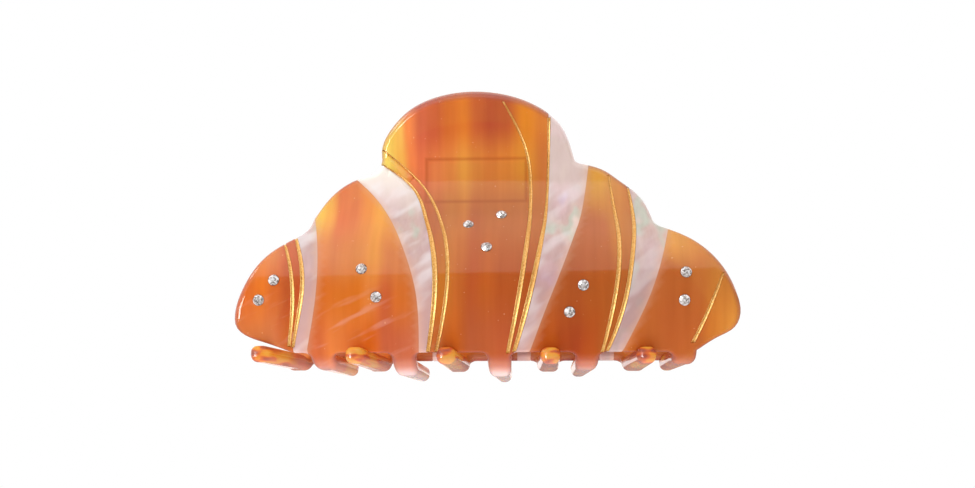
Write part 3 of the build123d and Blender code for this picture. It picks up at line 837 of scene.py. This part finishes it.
WAVES = (16, 16, 16)  # size of the waves in polished acetate
SEE_THROUGH = 0.24  # share of light that passes the outer face of the amber sheet
DRIFT, RISE = 3.0, 6.0  # how far the amber's colours wander along x and z
# The hinge block's outline is painted on this panel as a band of shade seen through the sheet.
BLOCK_PANEL, BLOCK_SHADE_WIDTH = 3, 0.6  # the hinge block is glued to the back of this panel
AMBERS = {  # per panel, heights from the top down, each with its colours across x: (x, red, green, blue)
    1: {
        26: [(-50, 240, 160, 92), (-45, 234, 146, 88), (-42.5, 212, 110, 74), (-38, 188, 90, 62)],
        16: [
            (-53, 224, 112, 52), (-50, 226, 112, 42), (-47.5, 232, 122, 38), (-45, 212, 106, 44),
            (-42, 187, 84, 42), (-38, 190, 86, 42),
        ],
        6: [(-50, 214, 124, 72), (-45, 208, 122, 76), (-41, 198, 104, 46)],
    },
    2: {
        34: [
            (-37, 252, 212, 88), (-35, 246, 184, 80), (-33, 228, 126, 72), (-30, 224, 130, 72),
            (-27, 236, 152, 66), (-24, 246, 176, 68), (-20, 238, 164, 64), (-16, 216, 128, 62),
        ],
        24: [
            (-36, 224, 136, 80), (-33, 216, 134, 80), (-30, 221, 141, 76), (-27, 220, 145, 72),
            (-24, 232, 160, 66), (-21, 211, 131, 68), (-17, 210, 129, 68), (-13, 198, 118, 66),
        ],
        15: [
            (-36, 214, 114, 40), (-30, 216, 120, 38), (-27, 219, 124, 36), (-24.4, 226, 138, 66),
            (-21, 199, 100, 54), (-18, 215, 118, 46), (-14, 198, 112, 56),
        ],
        5: [
            (-36, 206, 108, 62), (-32, 226, 132, 66), (-27, 224, 125, 56), (-24, 214, 106, 26),
            (-21, 190, 98, 62), (-14, 194, 108, 74),
        ],
    },
    3: {
        54: [
            (-22, 254, 216, 96), (-19.8, 254, 208, 104), (-18, 250, 150, 84), (-15, 214, 108, 78),
            (-12, 206, 101, 64), (-9, 213, 116, 50), (-6, 227, 132, 50), (-3, 198, 100, 55),
            (0, 182, 84, 54), (4, 190, 94, 54), (8, 230, 144, 42), (12, 220, 134, 60),
        ],
        45: [
            (-23, 252, 228, 110), (-19.5, 250, 194, 92), (-17, 242, 142, 82), (-15, 233, 127, 82),
            (-12, 236, 139, 80), (-9, 230, 142, 72), (-6, 236, 166, 72), (-3, 222, 143, 66),
            (0, 220, 134, 62), (4, 226, 142, 60), (8, 228, 156, 58), (12, 208, 128, 64),
        ],
        33: [
            (-16, 188, 108, 60), (-12, 191, 110, 58), (-9, 200, 126, 57), (-6, 206, 127, 56),
            (-3.5, 188, 106, 54), (0, 193, 114, 54), (5, 194, 116, 56), (11, 194, 118, 54),
        ],
        17: [
            (-12, 196, 106, 40), (-9, 202, 122, 42), (-6, 196, 108, 44), (-3, 181, 88, 40),
            (0, 190, 98, 36), (3, 178, 88, 36), (8, 178, 90, 36),
        ],
        6: [
            (-11, 200, 112, 52), (-6.5, 202, 106, 36), (-3, 179, 94, 54), (0, 180, 94, 52),
            (4, 180, 90, 50),
        ],
    },
    4: {
        41: [(20, 214, 156, 80), (24, 223, 168, 76), (27, 214, 150, 78), (30, 208, 132, 68)],
        30: [
            (14, 190, 110, 60), (21, 188, 110, 62), (24, 191, 113, 62), (27, 206, 136, 60),
            (30, 200, 128, 62),
        ],
        16: [
            (10, 178, 92, 40), (14, 176, 92, 40), (18, 170, 86, 36), (21, 174, 91, 34), (24, 176, 93, 34),
            (28, 182, 101, 44),
        ],
        5: [
            (8, 188, 94, 34), (12, 186, 92, 32), (15, 169, 76, 30), (18, 160, 68, 30), (21, 173, 81, 29),
            (25, 176, 96, 38),
        ],
    },
    5: {
        27: [(36, 222, 152, 72), (40, 224, 158, 74), (45, 214, 140, 66)],
        19: [
            (34, 184, 105, 50), (39, 180, 100, 44), (44, 184, 106, 48), (47.5, 190, 120, 50),
            (52, 194, 124, 54),
        ],
        9: [
            (29, 193, 105, 36), (33, 185, 103, 46), (37, 180, 97, 45), (43, 181, 100, 46),
            (46.5, 199, 122, 48), (51, 214, 144, 62),
        ],
    },
}


def amber(number):
    """Marbled acetate: soft upright streaks of one panel's own colours, glossy and slightly see-through, with
    painted light, shade and reflection laid over them.
    """
    shader = Shader(f"amber_acetate_{number}")
    place, (x, _, z) = shader.position()
    drift = shader.noise(place, (14, 30, 26), detail=1.5, offset=(number, 0, 0))
    rise = shader.noise(place, (9, 30, 40), offset=(0, 0, number))
    near_x = shader.math("ADD", x, shader.scaled(drift, DRIFT, -DRIFT / 2))
    near_z = shader.math("ADD", z, shader.scaled(rise, RISE, -RISE / 2))
    colour, above = None, None
    for height, stops in AMBERS[number].items():
        across = [(at, tone) for at, *tone in stops]
        across = shader.ramp(near_x, across, stops[0][0], stops[-1][0])
        if above is not None:
            share = shader.span(near_z, height, above, interpolation_type="SMOOTHSTEP")
            across = shader.blend(share, across, colour)
        colour, above = across, height
    streak = shader.noise(place, (1.6, 14, 26))
    streak = shader.ramp(streak, [(0.3, (236, 230, 224)), (0.7, WHITE)], smooth=False)
    colour = shader.blend(0.6, colour, streak, "MULTIPLY")
    # Painted reflection: pale streaks run aslant at the lower left, as mirrored in the gloss.
    veil = shader.mask(shader.turned(place, 24), (11, 20, 1.9), (0.54, 0.72), 0.3, 0.8)
    veil = shader.times(veil, shader.span(z, 17.0, 11.0))
    veil = shader.times(veil, shader.span(near_x, -8.0, -24.0))
    colour = shader.tint(colour, veil, 0.28, (236, 192, 176))
    # Painted shade: a dark outline on the sheet where the hinge block's edges show through it.
    if number == BLOCK_PANEL:
        edge = shader.math("ABSOLUTE", shader.within(place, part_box("front_hinge_block"), (0, 2)))
        colour = shader.tint(colour, shader.span(edge, BLOCK_SHADE_WIDTH, 0.0), 0.5, (160, 74, 30))
    speck = shader.mask(place, (0.5, 0.5, 0.5), (0.84, 0.87), detail=0.0)
    colour = shader.tint(colour, speck, 0.35, (252, 206, 160))
    rim, seam, tooth, inner = (shader.attribute(key) for key in ("rim", "seam", "tooth", "inner"))
    colour = shader.tint(colour, seam, 0.28, (232, 184, 150))
    # Painted light: the inner faces are tinted a bright orange, for light shining through the sheet.
    colour = shader.tint(colour, inner, 0.6, (255, 160, 62))
    # A tooth is pinker where it bends, and swirled towards its tip.
    bend = shader.ramp(tooth, [(0.0, BLACK), (0.35, WHITE), (0.8, WHITE), (1.0, BLACK)])
    colour = shader.tint(colour, bend, 0.5, (206, 118, 96))
    swirl = shader.noise(place, (4, 14, 1.6), detail=1.0)
    flames = [(0.38, (150, 66, 48)), (0.46, (228, 108, 36)), (0.52, (255, 172, 40)), (0.6, (255, 196, 66))]
    swirl = shader.ramp(swirl, flames, 0.3, 0.7)
    colour = shader.tint(colour, shader.span(tooth, 0.5, 0.8), 0.9, swirl)
    # Painted shade: the rounded rim turns a dark purple-brown, less so on the teeth, for the edge seen darker
    # through the sheet.
    body_rim = shader.times(rim, shader.scaled(tooth, -0.5, 0.7))
    colour = shader.blend(body_rim, colour, linear(140, 76, 80))
    # Painted light: the undersides fade to a pale pink, for the white surroundings that light them from
    # below.
    fade = shader.times(shader.span(z, 3.0, -LIFT), shader.scaled(inner, -1.0, 1.0))
    pale = shader.ramp(fade, [(0.0, (188, 118, 98)), (0.5, (198, 146, 138)), (1.0, (242, 228, 228))])
    colour = shader.tint(colour, fade, 0.9, pale)
    rough = shader.scaled(shader.noise(place, (3, 3, 3)), 0.05, 0.06)
    rough = shader.math("ADD", rough, shader.times(inner, 0.3))
    body = shader.acetate(place, colour, rough, 0.2, (1.0, 0.45, 0.15))
    clear = shader.add("ShaderNodeBsdfTransparent", {"Color": (0.97, 0.56, 0.2, 1.0)}).outputs[0]
    share = shader.scaled(inner, 0.1, SEE_THROUGH)
    return shader.finish(shader.add("ShaderNodeMixShader", {0: share, 1: body, 2: clear}).outputs[0])


def pearl():
    """Pearl acetate: pale, with soft wandering patches of pink, green and violet."""
    shader = Shader("pearl_acetate")
    place, (x, _, z) = shader.position()
    flat = shader.add("ShaderNodeVectorMath", {0: place, 1: (1, 0, 1)}, operation="MULTIPLY").outputs[0]
    patches = [
        (0.28, (196, 168, 192)), (0.38, (200, 166, 168)), (0.47, (192, 162, 158)),
        (0.55, (196, 168, 160)), (0.62, (184, 184, 170)), (0.72, (226, 206, 200)),
    ]
    colour = shader.ramp(shader.noise(flat, (9, 9, 12), roughness=0.55), patches, 0.25, 0.75)
    veil = shader.noise(place, (2.2, 6, 7), detail=3.0, roughness=0.6)
    veil = shader.ramp(veil, [(0.35, (236, 226, 224)), (0.65, WHITE)], smooth=False)
    colour = shader.blend(0.7, colour, veil, "MULTIPLY")
    # Warmer and darker towards the foot, and paler towards the levers, most of all on the left.
    left, foot, top = shader.span(x, 30.0, -20.0), shader.span(z, 26.0, 14.0), shader.span(z, 32.0, 43.0)
    warm = shader.blend(left, linear(166, 132, 130), linear(196, 154, 148))
    colour = shader.tint(colour, foot, 0.8, warm)
    colour = shader.tint(colour, top, shader.scaled(left, 0.7, 0.1), (252, 244, 234))
    # Painted glints: pale streaks aslant, stronger on the left.
    glint = shader.mask(shader.turned(place, 38), (9, 12, 3.4), (0.48, 0.7), 0.3, 0.8, detail=1.5)
    colour = shader.tint(colour, glint, shader.scaled(left, 0.25, 0.2), (236, 234, 236))
    colour = shader.tint(colour, shader.attribute("seam"), 0.4, (222, 168, 136))
    rough = shader.scaled(shader.noise(place, (10, 10, 10)), 0.08, 0.08)
    return shader.finish(shader.acetate(place, colour, rough, 0.25, (1.0, 0.85, 0.8)))


def gold():
    """Grainy gold lacquer."""
    shader = Shader("gold_inlay")
    grain = shader.noise(shader.position()[0], (0.22, 0.22, 0.22), detail=3.0, roughness=0.7)
    stops = [(0.3, (154, 92, 32)), (0.46, (214, 150, 62)), (0.68, (238, 204, 138))]
    body = shader.surface(
        Base_Color=shader.ramp(grain, stops, 0.25, 0.75),
        Metallic=0.35,
        Roughness=shader.scaled(grain, 0.3, 0.22),
        Normal=shader.bump(grain, 0.06, 0.8),
    )
    return shader.finish(body)


def crystal():
    """Foil-backed cut glass, with painted reflections: patches of different greys, scattered by position,
    stand in for what its facets mirror.
    """
    shader = Shader("crystal")
    inputs = {"Vector": shader.position()[0], "Scale": 3.2}
    cells = shader.add("ShaderNodeTexVoronoi", inputs).outputs["Color"]
    tone = shader.add("ShaderNodeSeparateColor", {0: cells}).outputs[0]
    painted_reflection_greys = [(0.15, (128, 118, 114)), (0.35, (178, 170, 166)), (0.6, (214, 208, 206)), (0.9, (246, 244, 244))]
    body = shader.surface(
        Base_Color=shader.ramp(tone, painted_reflection_greys, smooth=False),
        Metallic=0.3,
        Roughness=shader.scaled(tone, 0.1, 0.04),
        IOR=1.6,
    )
    return shader.finish(body)


def metal(name, bright, dark, rough, grain_mm):
    """Bare metal with a fine grain."""
    shader = Shader(name)
    grain = shader.noise(shader.position()[0], grain_mm, detail=3.0)
    body = shader.surface(
        Base_Color=shader.ramp(grain, [(0.35, dark), (0.65, bright)], smooth=False),
        Metallic=1.0,
        Roughness=shader.scaled(grain, 0.15, rough),
        Normal=shader.bump(grain, 0.01, 0.4),
    )
    return shader.finish(body)


def moulded(name, box, bright, dark, edge):
    """Injection-moulded plastic with faint flow marks, and painted shade along its box's top and bottom."""
    shader = Shader(name)
    place, _ = shader.position()
    pores = shader.noise(place, (0.2, 0.2, 0.2))
    flow = shader.noise(place, (6, 2, 2), detail=3.0)
    colour = shader.ramp(flow, [(0.35, dark), (0.65, bright)], smooth=False)
    # Painted shade: a dark band along the top and bottom of the box.
    rim = shader.span(shader.within(place, box, (2,)), 1.3, 0.7)
    body = shader.surface(
        Base_Color=shader.blend(rim, colour, linear(*edge)),
        Roughness=shader.scaled(pores, 0.2, 0.25),
        Normal=shader.bump(pores, 0.01, 0.5),
    )
    return shader.finish(body)


def dress(piece, material, jaw_name, node):
    """Give a piece its material and the jaw it rides on, and hide the CAD node it stands for."""
    piece.data.materials.append(material)
    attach(piece, f"{jaw_name}_jaw")
    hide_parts(node)


# ---------------------------------------------------------------- the clip
ambers = {number: amber(number) for number in AMBERS}
pearl_look, gold_look, crystal_look = pearl(), gold(), crystal()
rng = np.random.default_rng(7)

for jaw_name in ("front", "rear"):
    jaw = Jaw(jaw_name)
    for index in range(len(SEAMS) + 1):
        number = index // 2 + 1
        kind = "pearl_stripe" if index % 2 else "amber_panel"
        node = f"{jaw_name}_{kind}_{number}"
        sheet = jaw.sheet(index, node + "_look")
        if index % 2:
            dress(sheet, pearl_look, jaw_name, node)
        else:
            dress(sheet, ambers[number], jaw_name, node)
    for number, line in enumerate(GOLD_LINES, 1):
        node = f"{jaw_name}_gold_line_{number}"
        dress(gold_ribbon(jaw, line, node + "_look", rng), gold_look, jaw_name, node)
    for number, places in enumerate(CRYSTALS, 1):
        node = f"{jaw_name}_crystals_{number}"
        dress(stones(jaw, places, node + "_look"), crystal_look, jaw_name, node)

spring = torsion_spring("torsion_spring_look")
spring.data.materials.append(metal("spring_steel", (206, 206, 208), (150, 150, 154), 0.22, (0.3, 0.3, 0.3)))
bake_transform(spring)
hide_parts("torsion_spring")

block_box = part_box("front_hinge_block")
# The last colour is the painted shade along the hinge block's top and bottom.
block_look = moulded("hinge_plastic", block_box, (236, 168, 96), (214, 140, 74), (120, 52, 24))
pin_look = metal("pin_steel", (226, 226, 228), (184, 184, 188), 0.12, (2, 0.2, 0.2))
carried = {"front_hinge_block": block_look, "rear_hinge_block": block_look, "hinge_pin": pin_look}
for node, look in carried.items():
    cad = frame["nodes"][node]
    cad.data.materials.clear()
    cad.data.materials.append(look)

# ---------------------------------------------------------------- stage, light, camera
FLOOR_HALF = 3.0
corners = [(FLOOR_HALF * x, FLOOR_HALF * y, 0) for x, y in ((-1, -1), (1, -1), (1, 1), (-1, 1))]
floor = mesh_object("floor", corners, [[0, 1, 2, 3]], smooth=False)
# The camera is below the floor, so the floor is clear from that side and takes no part in the light.
shader = Shader("pale_floor")
paint = shader.surface(Base_Color=linear(240, 239, 237), Roughness=0.8)
gone = shader.add("ShaderNodeBsdfTransparent").outputs[0]
below = shader.add("ShaderNodeNewGeometry").outputs["Backfacing"]
one_way = shader.add("ShaderNodeMixShader", {0: below, 1: paint, 2: gone})
floor.data.materials.append(shader.finish(one_way.outputs[0]))
for ray in ("diffuse", "glossy", "transmission", "shadow", "volume_scatter"):
    setattr(floor, f"visible_{ray}", False)

# Seen in gloss, the studio is a wide soft box overhead with a straight front edge, a pale
# wall behind the clip, and a dim room in front and below.
BOX_CLIMB = (math.radians(24), math.radians(26))  # where the soft box starts, and where it is full
BOX_SLANT = -0.35
BOX_GLOW, ROOM_GLOW, WALL_GLOW, AIR_GLOW = 1.22, 0.13, 0.3, 1.05

world = bpy.data.worlds.new("studio")
world.use_nodes = True
bpy.context.scene.world = world
studio = Nodes(world.node_tree, "ShaderNodeOutputWorld")
way = studio.split(studio.add("ShaderNodeTexCoord").outputs["Generated"])
in_front = studio.times(way[1], -1.0)
climb = studio.math("ARCTAN2", studio.scaled(way[0], BOX_SLANT, way[2]), in_front)
room = studio.scaled(studio.span(climb, *BOX_CLIMB), BOX_GLOW, ROOM_GLOW)
gloss = studio.math("MAXIMUM", room, studio.times(studio.span(way[1], -0.02, 0.05), WALL_GLOW))
rays = studio.add("ShaderNodeLightPath").outputs
light = studio.add("ShaderNodeMix", {0: rays["Is Glossy Ray"], 2: AIR_GLOW, 3: gloss}).outputs[0]
seen = studio.add("ShaderNodeMix", {0: rays["Is Camera Ray"], 2: light, 3: 1.0}).outputs[0]
glow = studio.add("ShaderNodeBackground", {"Color": linear(*WHITE), "Strength": seen})
studio.finish(glow.outputs[0])


def area_light(name, place, target, size, power, shiny, lights=True):
    """A square lamp. shiny and lights say whether gloss and matt surfaces see it."""
    data = bpy.data.lights.new(name, "AREA")
    data.shape, data.size, data.energy = "SQUARE", size, power
    lamp = add_object(name, data)
    lamp.location = place
    lamp.rotation_euler = (Vector(target) - Vector(place)).to_track_quat("-Z", "Y").to_euler()
    lamp.visible_glossy, lamp.visible_diffuse = shiny, lights


area_light("key", (-0.35, -0.45, 0.6), (0, 0, 0.03), 0.5, 1.2, False)
area_light("fill", (0.5, 0.4, 0.5), (0, 0, 0.03), 0.6, 0.8, False)
area_light("rim_light", (-0.55, -0.16, 0.42), (0, 0, 0.03), 0.16, 0.8, True)
area_light("spark", (-0.34, -0.42, -0.08), (0, 0, 0.01), 0.24, 3.6, True, lights=False)
area_light("table_bounce", (0, 0, -0.12), (0, 0, 0.03), 0.25, 0.3, False)

CAMERA_X, CAMERA_Y, CAMERA_Z = 11.65, -242, -12.7  # in the drawing's millimetres
TURN, PITCH = math.radians(2.99), math.radians(9.69)

camera_data = bpy.data.cameras.new("camera")
camera_data.lens, camera_data.sensor_width = 40.1, 36.0
camera_data.clip_start, camera_data.clip_end = 0.01, 20.0
camera = add_object("camera", camera_data)
camera.location = ((CAMERA_X + SHIFT_X) * MM, CAMERA_Y * MM, (LIFT + CAMERA_Z) * MM)
aim = Vector((-math.sin(TURN) * math.cos(PITCH), math.cos(TURN) * math.cos(PITCH), math.sin(PITCH)))
camera.rotation_mode = "QUATERNION"
camera.rotation_quaternion = aim.to_track_quat("-Z", "Y")
bpy.context.scene.camera = camera
bpy.context.scene.view_settings.view_transform = "Standard"
bpy.context.view_layer.update()
